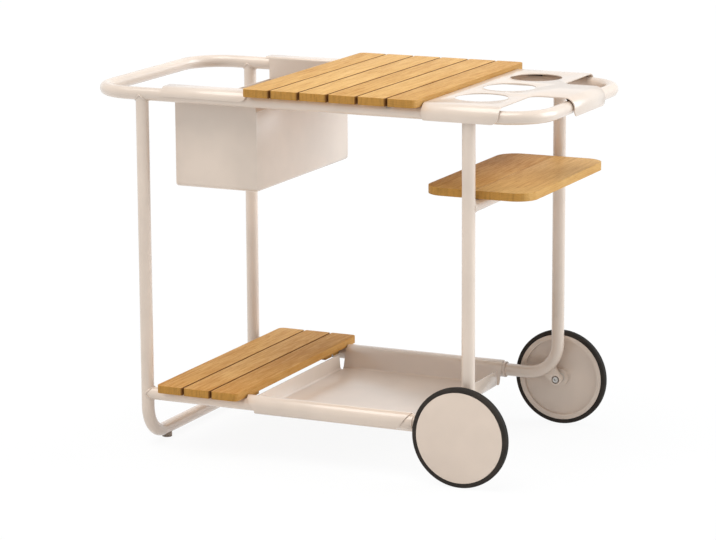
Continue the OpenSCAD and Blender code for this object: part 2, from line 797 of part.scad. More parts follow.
module tray() {
    x0 = tray_x + tray_flange_inset;
    x1 = tray_end_x - tray_flange_inset;
    skirt_y = rail_y + hook_in_r;
    skirt_z = lower_rail_z - tray_skirt_drop;
    curl_top = lower_rail_z + hook_out_r;
    color(powder) union() {
        tray_end_wall(tray_x, 1);
        tray_end_wall(tray_end_x, -1);
        for (s = [-1, 1]) scale([1, s, 1]) {
            // half of the floor, cut away at the corner notches
            translate([0, 0, tray_z]) linear_extrude(height = sheet)
                polygon([[tray_x + tray_corner_r, 0], [tray_end_x - tray_corner_r, 0],
                         [tray_end_x - tray_corner_r, tray_bend_y],
                         [tray_x + tray_corner_r, tray_bend_y]]);
            intersection() {
                pull_x(x0, x1) tray_side_section();
                union() {
                    translate([x0, 0, tray_z]) cube([x1 - x0, rail_y, tray_z]);
                    pull_y(rail_y - eps, slat_y) tray_skirt_outline(x0, x1, curl_top);
                }
            }
            // skirt, its ends slanted
            pull_y(skirt_y, skirt_y + sheet) intersection() {
                tray_skirt_outline(x0, x1, curl_top);
                translate([x0, skirt_z]) square([x1 - x0, lower_rail_z - skirt_z]);
            }
        }
    }
}

// Outline of the curl and skirt seen from the side, slanted from the curl's top downwards
module tray_skirt_outline(x0, x1, top) {
    polygon([[x0, top + 1], [x1, top + 1],
             [x1 - tray_skirt_slant, lower_rail_z - tray_skirt_drop],
             [x0 + tray_skirt_slant, lower_rail_z - tray_skirt_drop]]);
}

// Pads under the tray's left end. Its right end rests on the two sleeves
module tray_pads() {
    x = tray_x + tray_flange_inset + pad_inset;
    color(rubber) for (s = [-1, 1]) translate([0, s * rail_y, lower_rail_z]) rail_pad(x);
}

module tray_stop(side) {
    x1 = tray_end_x + sleeve_reach;
    color(taupe) translate([0, side * rail_y, lower_rail_z]) difference() {
        along_x(x1 - sleeve_length, x1, 2 * (hook_in_r - rest_gap));
        along_x(x1 - sleeve_length - 1, x1 + 1, tube_d + 2 * weld_gap);
    }
}

// ---------------------------------------------------------------- side shelf

module shelf_outline_3d() {
    rounded_box(shelf_x, shelf_x + shelf_length, -shelf_y, shelf_y,
                shelf_z - shelf_thick, shelf_z, shelf_corner_r);
}

module shelf_board(side) {
    x0 = side < 0 ? shelf_x - 1 : right_leg_x + glue_line / 2;
    x1 = side < 0 ? right_leg_x - glue_line / 2 : shelf_x + shelf_length + 1;
    color(teak) difference() {
        intersection() {
            shelf_outline_3d();
            translate([x0, -rail_y, shelf_z - 2 * shelf_thick])
                cube([x1 - x0, 2 * rail_y, 3 * shelf_thick]);
        }
        for (p = shelf_screws_at)
            translate([p[0], p[1], shelf_z - shelf_thick - 1])
                cylinder(d = shelf_screw_d + 0.2, h = shelf_thick - 5);
    }
}

module shelf_screws() {
    top = shelf_z - 6.5;
    head_z = shelf_tube_z - tube_r - 0.5;
    color(steel) for (p = shelf_screws_at) translate([p[0], p[1], 0]) {
        translate([0, 0, head_z - 2.5]) cylinder(d = 10, h = 3);
        translate([0, 0, head_z]) cylinder(d = shelf_screw_d, h = top - head_z);
    }
}

// ---------------------------------------------------------------- nodes

module placed() {
    translate([-set_back, 0, 0]) children();
}

top_places = screw_places(top_slats, top_x);
lower_places = screw_places(lower_slats, lower_x);

placed() top_rail();
placed() left_leg_frame();
placed() side_frame(-1);  // front_side_frame
placed() side_frame(1);  // back_side_frame
placed() shelf_cross_tube();
placed() axle_boss(-1);  // axle_boss_front
placed() axle_boss(1);  // axle_boss_back
placed() axle_bolt(-1);  // axle_bolt_front
placed() axle_bolt(1);  // axle_bolt_back
placed() hub_spacer(-1);  // hub_spacer_front
placed() hub_spacer(1);  // hub_spacer_back
placed() glide(-1);  // glide_front
placed() glide(1);  // glide_back
placed() tray_stop(-1);  // tray_stop_front
placed() tray_stop(1);  // tray_stop_back
placed() shelf_board(-1);  // shelf_board_left
placed() shelf_board(1);  // shelf_board_right
placed() shelf_screws();
placed() wheel(-1);  // wheel_front
placed() wheel(1);  // wheel_back
placed() tyre(-1);  // tyre_front
placed() tyre(1);  // tyre_back
placed() wheel_cover(-1);  // wheel_cover_front
placed() wheel_cover(1);  // wheel_cover_back
placed() hub_bushes(-1);  // hub_bushes_front
placed() hub_bushes(1);  // hub_bushes_back
placed() axle_nut(-1);  // axle_nut_front
placed() axle_nut(1);  // axle_nut_back
for (i = [1:top_slats])
    placed() drilled_slat(i, top_slats, top_x, top_slat_z, slat_y);
placed() batten(-1, top_x, top_end_x, top_slat_z, top_places);  // top_batten_front
placed() batten(1, top_x, top_end_x, top_slat_z, top_places);  // top_batten_back
placed() slat_screws(top_places, top_slat_z);  // top_slat_screws
for (i = [1:lower_slats])
    placed() drilled_slat(i, lower_slats, lower_x, lower_slat_z, lower_slat_y);
placed() batten(-1, lower_x, lower_end_x, lower_slat_z, lower_places);  // lower_batten_front
placed() batten(1, lower_x, lower_end_x, lower_slat_z, lower_places);  // lower_batten_back
placed() slat_screws(lower_places, lower_slat_z);  // lower_slat_screws
placed() bucket();
placed() bucket_pads();
placed() cup_panel();
placed() cup_panel_pads();
placed() tray();
placed() tray_pads();
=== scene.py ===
"""Looks of the garden drinks trolley: its finishes, rounded edges, welds, tyres and stage."""

import json
import math
import random

import bmesh
import bpy
from mathutils import Matrix, Vector

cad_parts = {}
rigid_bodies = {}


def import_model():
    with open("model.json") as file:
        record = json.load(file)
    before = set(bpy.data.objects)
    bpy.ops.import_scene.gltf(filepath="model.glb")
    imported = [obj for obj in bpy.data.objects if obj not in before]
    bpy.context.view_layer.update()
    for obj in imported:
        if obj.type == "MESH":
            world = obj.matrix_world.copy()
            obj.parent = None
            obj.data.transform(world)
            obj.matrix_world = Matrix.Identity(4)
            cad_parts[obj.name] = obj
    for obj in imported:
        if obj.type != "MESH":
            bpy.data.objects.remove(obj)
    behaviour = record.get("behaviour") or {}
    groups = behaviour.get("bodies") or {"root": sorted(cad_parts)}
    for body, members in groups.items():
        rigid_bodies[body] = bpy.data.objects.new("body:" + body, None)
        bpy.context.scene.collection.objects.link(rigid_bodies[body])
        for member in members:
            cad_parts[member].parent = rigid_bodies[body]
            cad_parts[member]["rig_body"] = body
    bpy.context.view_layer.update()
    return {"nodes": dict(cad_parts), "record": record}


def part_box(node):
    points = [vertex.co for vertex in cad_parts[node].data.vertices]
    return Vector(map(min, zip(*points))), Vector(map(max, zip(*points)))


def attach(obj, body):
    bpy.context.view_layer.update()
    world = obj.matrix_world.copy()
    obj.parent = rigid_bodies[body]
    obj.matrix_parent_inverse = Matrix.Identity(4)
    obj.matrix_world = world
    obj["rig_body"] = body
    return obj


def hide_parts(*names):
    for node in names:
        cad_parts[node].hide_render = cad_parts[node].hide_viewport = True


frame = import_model()

bl_info = {
    "name": "Garden drinks trolley",
    "version": (1, 0, 0),
    "blender": (4, 5, 0),
    "location": "3D View > Sidebar > Trolley",
    "description": "Builds the visible pieces of a drinks trolley around its packed frame",
    "category": "Object",
}

NODES = frame["nodes"]
SLOT_OF = {part["node"]: part["material_slot"] for part in frame["record"]["subparts"]}
SIDES = {"front": -1, "back": 1}

MM = 0.001
MERGE_DISTANCE = 0.001 * MM
# faces that meet at less than the first angle are joined, at more than the second rounded
FLAT_ANGLE = math.radians(0.5)
SHARP_ANGLE = math.radians(30)

# axis along a board's grain
ALONG_X = 0
ALONG_Y = 1
# how much darker each deck's boards are painted, on the lower deck as painted shade under the top
# deck; how much darker each shelf board's own tone is; and how far a board's own tone strays
DECK_PAINTED_SHADE = {"top": 0.0, "lower": 0.26}
SHELF_SHADES = {"left": 0.12, "right": -0.06}
TONE_RANGE = (-0.14, 0.12)
# where a board was cut, in millimetres from the log's heart line
HEART_ASIDE = 30
HEART_ALONG = 5000
HEART_DEPTHS = (60, 190)
FIRST_SLAT_SEED = 3966
RINGS_PER_METRE = 340.0
# how far a board's long sides are painted toward its end-grain colour, as painted shade
SIDE_SHADE_SHARE = 0.62


# ---------------------------------------------------------------- settings

def length_value(label, text, millimetres):
    """A length that the user may change, given in millimetres and kept in metres."""
    return bpy.props.FloatProperty(name=label, description=text, default=millimetres * MM,
                                   min=0.0, precision=5, unit="LENGTH")


def colour_value(label, text, colour):
    """A colour that the user may change, in linear light."""
    return bpy.props.FloatVectorProperty(name=label, description=text, default=colour,
                                         size=3, min=0.0, max=1.0, subtype="COLOR")


def share_value(label, text, share):
    """A share from 0 to 1 that the user may change."""
    return bpy.props.FloatProperty(name=label, description=text, default=share,
                                   min=0.0, max=1.0, subtype="FACTOR")


class TrolleyShape(bpy.types.PropertyGroup):
    """Sizes of the rounded edges and of the pieces that are added to the frame."""

    timber_edge: length_value("Timber edge", "Radius along the edges of the slats and boards", 2.1)
    timber_corner: length_value("Timber corner", "Radius at the corners of the boards", 4.5)
    batten_edge: length_value("Batten edge", "Radius along the edges of the battens", 0.8)
    sheet_edge: length_value("Sheet edge", "Radius along the cut edges of the sheet metal", 0.45)
    tube_edge: length_value("Tube edge", "Radius at the ends of the tubes", 0.3)
    moulded_edge: length_value("Moulded edge", "Radius on the wheels, bosses, glides and sleeves",
                               0.7)
    metal_edge: length_value("Fastener edge", "Radius on the axle bolts and spacers", 0.35)
    weld_radius: length_value("Weld radius", "Radius of the weld beads", 2.1)
    weld_pitch: length_value("Weld pitch", "Distance between two ripples of a weld", 1.7)
    tyre_shoulder: length_value("Tyre shoulder", "Radius of the tyre's shoulders", 3.6)
    tyre_seam: length_value("Tyre seam", "Height of the mould line round the tyre", 0.25)


class TrolleyFinish(bpy.types.PropertyGroup):
    """Colours of the finishes, of the painted shade between boards, and how worn they are."""

    coat: colour_value("Powder coat", "Colour of the coated metal", (0.67, 0.54, 0.442))
    wheel: colour_value("Wheel", "Colour of the moulded wheels", (0.645, 0.515, 0.418))
    timber_light: colour_value("Timber, light", "Lighter colour of the teak", (0.69, 0.412, 0.144))
    timber_dark: colour_value("Timber, dark", "Darker colour of the teak", (0.41, 0.18, 0.036))
    # painted shade: the dark colour put on boards' sides where they face a neighbouring board
    timber_gap: colour_value("Timber, gaps", "Colour deep between two boards",
                             (0.18, 0.07, 0.015))
    timber_end: colour_value("Timber, ends", "Colour of the end grain", (0.49, 0.24, 0.052))
    batten: colour_value("Batten", "Lighter colour of the battens", (0.5, 0.3, 0.13))
    rubber: colour_value("Rubber", "Colour of the tyres and pads", (0.017, 0.0145, 0.013))
    dust: colour_value("Dust", "Colour of the dust on the rubber", (0.2, 0.155, 0.12))
    steel: colour_value("Steel", "Colour of the fasteners", (0.56, 0.55, 0.53))
    nylon: colour_value("Nylon", "Colour of the bushes", (0.75, 0.72, 0.66))
    glide: colour_value("Glide", "Colour of the glides and sleeves", (0.4, 0.31, 0.24))
    wear: share_value("Wear", "How much the edges and corners are worn", 0.35)


class TrolleyStage(bpy.types.PropertyGroup):
    """Camera and light."""

    camera_place: bpy.props.FloatVectorProperty(
        name="Camera place", description="Where the camera stands", subtype="XYZ",
        unit="LENGTH", default=(2.79918, -6.00331, 1.7847))
    camera_azimuth: bpy.props.FloatProperty(
        name="Camera azimuth", description="Turn of the view to the left of +Y",
        subtype="ANGLE", default=math.radians(25.0376))
    camera_tilt: bpy.props.FloatProperty(
        name="Camera tilt", description="How far the view points down",
        subtype="ANGLE", default=math.radians(12.0086))
    camera_roll: bpy.props.FloatProperty(
        name="Camera roll", description="Turn of the picture",
        subtype="ANGLE", default=math.radians(-0.3))
    focal_length: bpy.props.FloatProperty(
        name="Focal length", description="Focal length on a 36 mm sensor",
        subtype="DISTANCE_CAMERA", unit="CAMERA", default=155.705)
    sky_strength: bpy.props.FloatProperty(
        name="Sky", description="Strength of the light from all round", default=0.62)
    sky_colour: colour_value("Sky colour", "Colour of the light from all round",
                             (0.86, 0.94, 1.0))
    key_strength: bpy.props.FloatProperty(
        name="Key light", description="Strength of the main light", default=2.25)
    key_colour: colour_value("Key colour", "Colour of the main light", (1.0, 0.968, 0.922))
    softness: bpy.props.FloatProperty(
        name="Softness", description="Width of both lights as seen from the trolley",
        subtype="ANGLE", default=math.radians(50))
    key_direction: bpy.props.FloatVectorProperty(
        name="Key direction", description="Direction towards the main light",
        subtype="DIRECTION", default=(-0.1, -0.28, 0.95))
    side_strength: bpy.props.FloatProperty(
        name="Side light", description="Strength of the light from the wheels' side", default=2.3)
    side_colour: colour_value("Side colour", "Colour of the side light", (0.88, 0.95, 1.0))
    side_direction: bpy.props.FloatVectorProperty(
        name="Side direction", description="Direction towards the side light",
        subtype="DIRECTION", default=(0.82, 0.5, 0.28))
    floor_glow: share_value("Floor glow", "Share of the white floor that no shadow darkens", 0.92)


def shape():
    """The chosen sizes."""
    return bpy.context.scene.trolley_shape


def finish():
    """The chosen colours and wear."""
    return bpy.context.scene.trolley_finish


def stage():
    """The chosen camera and light."""
    return bpy.context.scene.trolley_stage


# ---------------------------------------------------------------- shader helpers

def add(tree, kind, inputs=None, **settings):
    """Adds a shader node, sets its options and fills or joins its inputs."""
    node = tree.nodes.new("ShaderNode" + kind)
    for name, value in settings.items():
        setattr(node, name, value)
    for key, value in (inputs or {}).items():
        if isinstance(value, bpy.types.NodeSocket):
            tree.links.new(value, node.inputs[key])
        else:
            node.inputs[key].default_value = value
    return node


def calc(tree, operation, *values):
    """Result of a Math node."""
    return add(tree, "Math", dict(enumerate(values)), operation=operation).outputs[0]


def vector_calc(tree, operation, *vectors):
    """Node that works on vectors."""
    return add(tree, "VectorMath", dict(enumerate(vectors)), operation=operation)


def scaled(tree, vector, factors):
    """A vector multiplied along each axis."""
    return vector_calc(tree, "MULTIPLY", vector, factors).outputs[0]


def noise(tree, vector, scale, detail=2.0, roughness=0.5):
    """Height of a noise pattern, from 0 to 1."""
    node = add(tree, "TexNoise", {"Vector": vector, "Scale": scale, "Detail": detail,
                                  "Roughness": roughness})
    return node.outputs["Fac"]


def spread(tree, value, low, high, new_low=0.0, new_high=1.0):
    """A value moved from one range to another and kept inside it."""
    node = add(tree, "MapRange", {"Value": value, "From Min": low, "From Max": high,
                                  "To Min": new_low, "To Max": new_high}, clamp=True)
    return node.outputs["Result"]


def mixed(tree, share, first, second):
    """A mix of two colours."""
    return add(tree, "Mix", {0: share, 6: first, 7: second}, data_type="RGBA").outputs[2]


def opaque(colour):
    """A colour with full alpha."""
    return (*colour, 1.0)


def shade(colour, factor, lift=0.0):
    """A darker or lighter tone of a colour, with full alpha."""
    return opaque([min(1.0, channel * factor + lift) for channel in colour])


def node_group(name, inputs, outputs, build):
    """A node group, made once. build(tree, given) makes its inside and names its outputs."""
    if name in bpy.data.node_groups:
        return bpy.data.node_groups[name]
    tree = bpy.data.node_groups.new(name, "ShaderNodeTree")
    for label, kind in inputs:
        tree.interface.new_socket(label, in_out="INPUT", socket_type="NodeSocket" + kind)
    for label, kind in outputs:
        tree.interface.new_socket(label, in_out="OUTPUT", socket_type="NodeSocket" + kind)
    given = tree.nodes.new("NodeGroupInput").outputs
    result = tree.nodes.new("NodeGroupOutput").inputs
    for label, socket in build(tree, given).items():
        tree.links.new(socket, result[label])
    return tree


def use_group(tree, group, inputs):
    """Places a node group, fills or joins its inputs and returns its outputs."""
    return add(tree, "Group", inputs, node_tree=group).outputs


def attribute(tree, name, output="Fac"):
    """Value of an attribute of the piece."""
    node = add(tree, "Attribute", attribute_type="GEOMETRY", attribute_name=name)
    return node.outputs[output]


def object_place(tree):
    """Place on the piece."""
    return add(tree, "TexCoord").outputs["Object"]


# ---------------------------------------------------------------- shared effects

def wear_inside(tree, given):
    """Rubbed edges, soft blotches and small scuffs."""
    place = given["Vector"]
    broken = noise(tree, place, 90.0, detail=4.0, roughness=0.65)
    edge = calc(tree, "MULTIPLY", given["Edge"], spread(tree, broken, 0.42, 0.62))
    edge = calc(tree, "MULTIPLY", edge, given["Amount"])
    blotch = noise(tree, place, 6.0, detail=3.0, roughness=0.55)
    long_marks = scaled(tree, place, (1.0, 0.35, 2.2))
    scuff = noise(tree, long_marks, 55.0, detail=5.0, roughness=0.7)
    scuff = calc(tree, "MULTIPLY", spread(tree, scuff, 0.66, 0.74), given["Amount"])
    return {"Edge": edge, "Blotch": blotch, "Scuff": scuff}


def wear(tree):
    """The wear of a piece, by its marked edges and the chosen amount."""
    group = node_group("surface_wear",
                       [("Vector", "Vector"), ("Edge", "Float"), ("Amount", "Float")],
                       [("Edge", "Float"), ("Blotch", "Float"), ("Scuff", "Float")], wear_inside)
    return use_group(tree, group, {"Vector": object_place(tree), "Amount": finish().wear,
                                   "Edge": attribute(tree, "edge")})


def coat_inside(tree, given):
    """Height of a fine powder texture over a slight orange peel."""
    place = given["Vector"]
    grit = noise(tree, place, 1900.0, roughness=0.6)
    peel = noise(tree, place, 260.0, detail=1.0, roughness=0.4)
    height = calc(tree, "MULTIPLY_ADD", peel, given["Peel"], calc(tree, "MULTIPLY", grit, 0.6))
    return {"Height": height}


def coat_height(tree, peel):
    """Height of the powder coat on a piece."""
    group = node_group("powder_texture", [("Vector", "Vector"), ("Peel", "Float")],
                       [("Height", "Float")], coat_inside)
    return use_group(tree, group, {"Vector": object_place(tree), "Peel": peel})["Height"]


def timber_inside(tree, given):
    """Solid timber: rings round a heart line, fibre streaks, pores and broad tone changes.

    The vector is the place in the board: x across, y along the grain, z through it.
    """
    place = given["Vector"]

    def drawn_out(vector, share):
        """The vector with the pattern drawn out along the grain."""
        return scaled(tree, vector, (1.0, share, 1.0))

    bend = add(tree, "TexNoise", {"Vector": drawn_out(place, 0.16), "Scale": 7.0,
                                  "Detail": 2.0, "Roughness": 0.5})
    wander = vector_calc(tree, "SUBTRACT", bend.outputs["Color"], (0.5, 0.5, 0.5)).outputs[0]
    wander = scaled(tree, wander, (30 * MM, 0.0, 30 * MM))
    warped = vector_calc(tree, "ADD", place, wander).outputs[0]
    radius = vector_calc(tree, "LENGTH", drawn_out(warped, 0.012)).outputs["Value"]
    ring = calc(tree, "FRACT", calc(tree, "MULTIPLY", radius, given["Rings"]))
    late = calc(tree, "POWER", ring, 2.6)
    fibre = noise(tree, drawn_out(place, 0.02), 620.0, detail=3.0, roughness=0.7)
    streak = noise(tree, drawn_out(warped, 0.06), 210.0, detail=3.0, roughness=0.6)
    tone = noise(tree, drawn_out(place, 0.3), 9.0)
    fleck = noise(tree, drawn_out(place, 0.1), 430.0, roughness=0.6)
    pore = spread(tree, noise(tree, drawn_out(place, 0.045), 1300.0, detail=1.0), 0.6, 0.72)
    shares = ((late, 0.17),
              (spread(tree, fibre, 0.3, 0.75), 0.34),
              (spread(tree, streak, 0.36, 0.7), 0.42),
              (spread(tree, tone, 0.35, 0.7), 0.26),
              (spread(tree, fleck, 0.56, 0.7), 0.28),
              (pore, 0.2))
    # the board's tone, which on the lower deck carries painted shade
    dark = given["Tone"]
    for pattern, share in shares:
        dark = calc(tree, "MULTIPLY_ADD", pattern, share, dark)
    height = calc(tree, "MULTIPLY_ADD", pore, -0.7, calc(tree, "MULTIPLY", fibre, 0.5))
    stroke = noise(tree, scaled(tree, place, (1.0, 0.0, 0.18)), 170.0, roughness=0.6)
    ends = calc(tree, "MULTIPLY_ADD", spread(tree, stroke, 0.44, 0.66), 0.36,
                calc(tree, "MULTIPLY", late, 0.4))
    return {"Dark": spread(tree, dark, 0.1, 1.05), "Ends": ends, "Height": height}


def timber_grain(tree):
    """The grain of a board, by its place in the log and its tone, which carries the lower deck's
    painted shade.
    """
    group = node_group("timber_grain",
                       [("Vector", "Vector"), ("Rings", "Float"), ("Tone", "Float")],
                       [("Dark", "Float"), ("Ends", "Float"), ("Height", "Float")],
                       timber_inside)
    return use_group(tree, group, {"Vector": attribute(tree, "grain", "Vector"),
                                   "Rings": RINGS_PER_METRE, "Tone": attribute(tree, "tone")})


# ---------------------------------------------------------------- materials

def new_material(name, **constants):
    """A material with one Principled shader. Returns it, its tree and the shader's inputs."""
    material = bpy.data.materials.new(name)
    material.use_nodes = True
    tree = material.node_tree
    shader = tree.nodes["Principled BSDF"]
    for label, value in constants.items():
        shader.inputs[label.replace("_", " ")].default_value = value
    return material, tree, shader.inputs


def set_bump(tree, inputs, height, distance, strength=1.0):
    """Joins a height to the shader's normal."""
    bump = add(tree, "Bump", {"Height": height, "Distance": distance, "Strength": strength})
    tree.links.new(bump.outputs["Normal"], inputs["Normal"])


def coated_material(name, colour, peel, roughness):
    """Fine-textured powder coat, or plastic moulded to match it."""
    material, tree, inputs = new_material(name, Specular_IOR_Level=0.6, Coat_Weight=1.0,
                                          Coat_Roughness=0.2)
    worn = wear(tree)
    deep = shade(colour, 0.93)
    pale = shade(colour, 1.05)
    rubbed = shade(colour, 1.22, lift=0.02)
    base = mixed(tree, spread(tree, worn["Blotch"], 0.35, 0.65), deep, pale)
    base = mixed(tree, worn["Edge"], base, rubbed)
    base = mixed(tree, calc(tree, "MULTIPLY", worn["Scuff"], 0.5), base, shade(colour, 0.8))
    tree.links.new(base, inputs["Base Color"])
    rough = spread(tree, worn["Blotch"], 0.3, 0.7, roughness - 0.05, roughness + 0.06)
    rough = calc(tree, "MULTIPLY_ADD", worn["Edge"], -0.15, rough)
    tree.links.new(rough, inputs["Roughness"])
    set_bump(tree, inputs, coat_height(tree, peel), 0.12 * MM)
    return material


def timber_material(name, light, dark):
    """Sanded and oiled hardwood, with its grain along each board."""
    material, tree, inputs = new_material(name, Specular_IOR_Level=0.16)
    grain = timber_grain(tree)
    worn = wear(tree)
    # end grain on the ends, and painted shade toward the end-grain colour on the long sides
    end = spread(tree, attribute(tree, "end"), 0.45, 0.9)
    base = mixed(tree, grain["Dark"], opaque(light), opaque(dark))
    rings = mixed(tree, grain["Ends"], opaque(finish().timber_end),
                  shade(finish().timber_end, 0.42))
    base = mixed(tree, end, base, rings)
    base = mixed(tree, calc(tree, "MULTIPLY", worn["Edge"], 0.5), base, opaque(light))
    base = mixed(tree, calc(tree, "MULTIPLY", worn["Scuff"], 0.35), base, opaque(dark))
    # painted shade deep between two boards
    gap = spread(tree, attribute(tree, "gap"), 0.2, 0.85)
    base = mixed(tree, gap, base, opaque(finish().timber_gap))
    tree.links.new(base, inputs["Base Color"])
    rough = spread(tree, grain["Dark"], 0.0, 1.0, 0.5, 0.64)
    tree.links.new(calc(tree, "MULTIPLY_ADD", end, 0.12, rough), inputs["Roughness"])
    set_bump(tree, inputs, grain["Height"], 0.3 * MM, strength=0.8)
    return material


def rubber_material(name, dusty):
    """Solid rubber with a dusty bloom."""
    material, tree, inputs = new_material(name, Specular_IOR_Level=0.12)
    place = object_place(tree)
    bloom = noise(tree, place, 35.0, detail=5.0, roughness=0.65)
    fine = noise(tree, place, 900.0, roughness=0.6)
    dust = calc(tree, "MULTIPLY", spread(tree, bloom, 0.42, 0.75), dusty)
    dust = calc(tree, "MULTIPLY_ADD", attribute(tree, "edge"), dusty * 0.5, dust)
    tree.links.new(mixed(tree, dust, opaque(finish().rubber), opaque(finish().dust)),
                   inputs["Base Color"])
    tree.links.new(spread(tree, bloom, 0.3, 0.7, 0.62, 0.82), inputs["Roughness"])
    set_bump(tree, inputs, calc(tree, "MULTIPLY_ADD", bloom, 2.0, fine), 0.12 * MM)
    return material


def steel_material(name, colour):
    """Stainless steel with fine turning marks."""
    material, tree, inputs = new_material(name, Metallic=1.0)
    place = object_place(tree)
    marks = noise(tree, scaled(tree, place, (1.0, 0.05, 1.0)), 2400.0, roughness=0.6)
    stain = spread(tree, noise(tree, place, 120.0, detail=3.0, roughness=0.6), 0.35, 0.7)
    tree.links.new(mixed(tree, stain, opaque(colour), shade(colour, 0.72)), inputs["Base Color"])
    tree.links.new(spread(tree, marks, 0.3, 0.7, 0.24, 0.42), inputs["Roughness"])
    set_bump(tree, inputs, marks, 0.03 * MM)
    return material


def nylon_material(name, colour):
    """Moulded nylon with a slightly mottled skin, soiled near the floor."""
    material, tree, inputs = new_material(name, Specular_IOR_Level=0.4)
    place = object_place(tree)
    mottle = noise(tree, place, 140.0, detail=4.0, roughness=0.6)
    skin = noise(tree, place, 1500.0)
    height = add(tree, "SeparateXYZ", {0: place}).outputs["Z"]
    soil = spread(tree, height, 0.0, 12 * MM, 0.55, 0.0)
    base = mixed(tree, spread(tree, mottle, 0.35, 0.7), opaque(colour), shade(colour, 0.8))
    base = mixed(tree, calc(tree, "MULTIPLY", soil, mottle), base, shade(colour, 0.35))
    tree.links.new(base, inputs["Base Color"])
    tree.links.new(spread(tree, mottle, 0.3, 0.7, 0.42, 0.55), inputs["Roughness"])
    set_bump(tree, inputs, skin, 0.08 * MM)
    return material


def make_material(slot, name):
    """Builds the material of one of the record's slots."""
    colours = finish()
    makers = {
        "powder_coat": (coated_material, colours.coat, 0.35, 0.46),
        "wheel_plastic": (coated_material, colours.wheel, 0.12, 0.42),
        "teak": (timber_material, colours.timber_light, colours.timber_dark),
        "teak_batten": (timber_material, colours.batten, colours.timber_dark),
        "tyre_rubber": (rubber_material, 0.12),
        "pad_rubber": (rubber_material, 0.1),
        "steel": (steel_material, colours.steel),
        "bush_nylon": (nylon_material, colours.nylon),
        "glide_nylon": (nylon_material, colours.glide),
    }
    maker, *values = makers[slot]
    return maker(name, *values)


def material_of(slot):
    """The material of a slot, built when it is first asked for."""
    name = slot + "_finish"
    return bpy.data.materials.get(name) or make_material(slot, name)


# ---------------------------------------------------------------- mesh helpers

def copied(node):
    """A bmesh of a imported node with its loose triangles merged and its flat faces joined."""
    mesh = bmesh.new()
    mesh.from_mesh(NODES[node].data)
    bmesh.ops.remove_doubles(mesh, verts=mesh.verts, dist=MERGE_DISTANCE)
    bmesh.ops.dissolve_limit(mesh, angle_limit=FLAT_ANGLE, verts=mesh.verts, edges=mesh.edges)
    return mesh


def sharp_edges(mesh, shortest=0.0):
    """Edges longer than shortest between two faces that meet at a sharp angle."""
    return [edge for edge in mesh.edges if len(edge.link_faces) == 2
            and edge.calc_face_angle(0.0) > SHARP_ANGLE and edge.calc_length() > shortest]


def round_edges(mesh, radius, segments, shortest=0.0):
    """Rounds the sharp edges and marks them for wear in the attribute edge."""
    mark = mesh.verts.layers.float.new("edge")
    edges = sharp_edges(mesh, shortest)
    if not edges or radius <= 0.0:
        return
    made = bmesh.ops.bevel(mesh, geom=edges, offset=radius, offset_type="OFFSET",
                           affect="EDGES", segments=segments, profile=0.5, material=-1,
                           clamp_overlap=True)
    strips = set(made["faces"])
    for vert in mesh.verts:
        if vert.link_faces and all(face in strips for face in vert.link_faces):
            vert[mark] = 1.0


def round_corners(mesh, radius):
    """Rounds the upright edges at a board's corners."""
    steepest = 0.99
    upright = [edge for edge in sharp_edges(mesh)
               if abs((edge.verts[0].co - edge.verts[1].co).normalized().z) > steepest
               and edge.calc_length() > 2 * radius]
    bmesh.ops.bevel(mesh, geom=upright, offset=radius, offset_type="OFFSET", affect="EDGES",
                    segments=4, profile=0.5, material=-1, clamp_overlap=True)


def smooth(mesh):
    """Shades the mesh smooth, with sharp edges kept."""
    for face in mesh.faces:
        face.smooth = True
    for edge in mesh.edges:
        edge.smooth = len(edge.link_faces) == 2 and edge.calc_face_angle(0.0) < SHARP_ANGLE


def lay_grain(mesh, along, seed, darker_by_shade_and_tone, gap_sides):
    """Gives a board its own place in the timber, its tone with any painted deck shade, its
    end-grain faces, and painted shade on its long sides and on the sides that face a gap.
    """
    luck = random.Random(seed)
    low = Vector([min(vert.co[i] for vert in mesh.verts) for i in range(3)])
    high = Vector([max(vert.co[i] for vert in mesh.verts) for i in range(3)])
    middle = (low + high) / 2
    heart = Vector((luck.uniform(-HEART_ASIDE, HEART_ASIDE),
                    luck.uniform(-HEART_ALONG, HEART_ALONG),
                    luck.choice((-1, 1)) * luck.uniform(*HEART_DEPTHS))) * MM
    grain = mesh.verts.layers.float_vector.new("grain")
    tone = mesh.verts.layers.float.new("tone")
    end = mesh.faces.layers.float.new("end")
    gap = mesh.faces.layers.float.new("gap")
    # the board's random tone, plus painted shade on the lower deck
    board_tone_and_shade = darker_by_shade_and_tone + luck.uniform(*TONE_RANGE)
    across = 1 - along
    for vert in mesh.verts:
        place = vert.co - middle
        vert[grain] = Vector((place[across], place[along], place[2])) + heart
        vert[tone] = board_tone_and_shade
    for face in mesh.faces:
        # end grain on the ends; painted shade toward the end-grain colour on the long sides
        face[end] = max(abs(face.normal[along]), SIDE_SHADE_SHARE * abs(face.normal[across]))
        # painted shade on the sides that face a neighbouring board
        face[gap] = max((side * face.normal[across] for side in gap_sides), default=0.0)


def mesh_object(mesh, name, material):
    """Makes the mesh an object with a material."""
    data = bpy.data.meshes.new(name)
    mesh.to_mesh(data)
    mesh.free()
    data.materials.append(material)
    piece = bpy.data.objects.new(name, data)
    bpy.context.scene.collection.objects.link(piece)
    return piece


def keep(mesh, node):
    """Makes the mesh a piece that stands for a CAD node and rides on its body."""
    smooth(mesh)
    piece = mesh_object(mesh, node + "_finished", material_of(SLOT_OF[node]))
    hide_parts(node)
    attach(piece, NODES[node]["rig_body"])


def soften(node, radius, segments=2):
    """Stands a copy with rounded edges in for a CAD node."""
    mesh = copied(node)
    round_edges(mesh, radius, segments)
    keep(mesh, node)


def coat_node(node):
    """Keeps a CAD node's shape and gives it its slot's material."""
    slots = NODES[node].data.materials
    slots.clear()
    slots.append(material_of(SLOT_OF[node]))


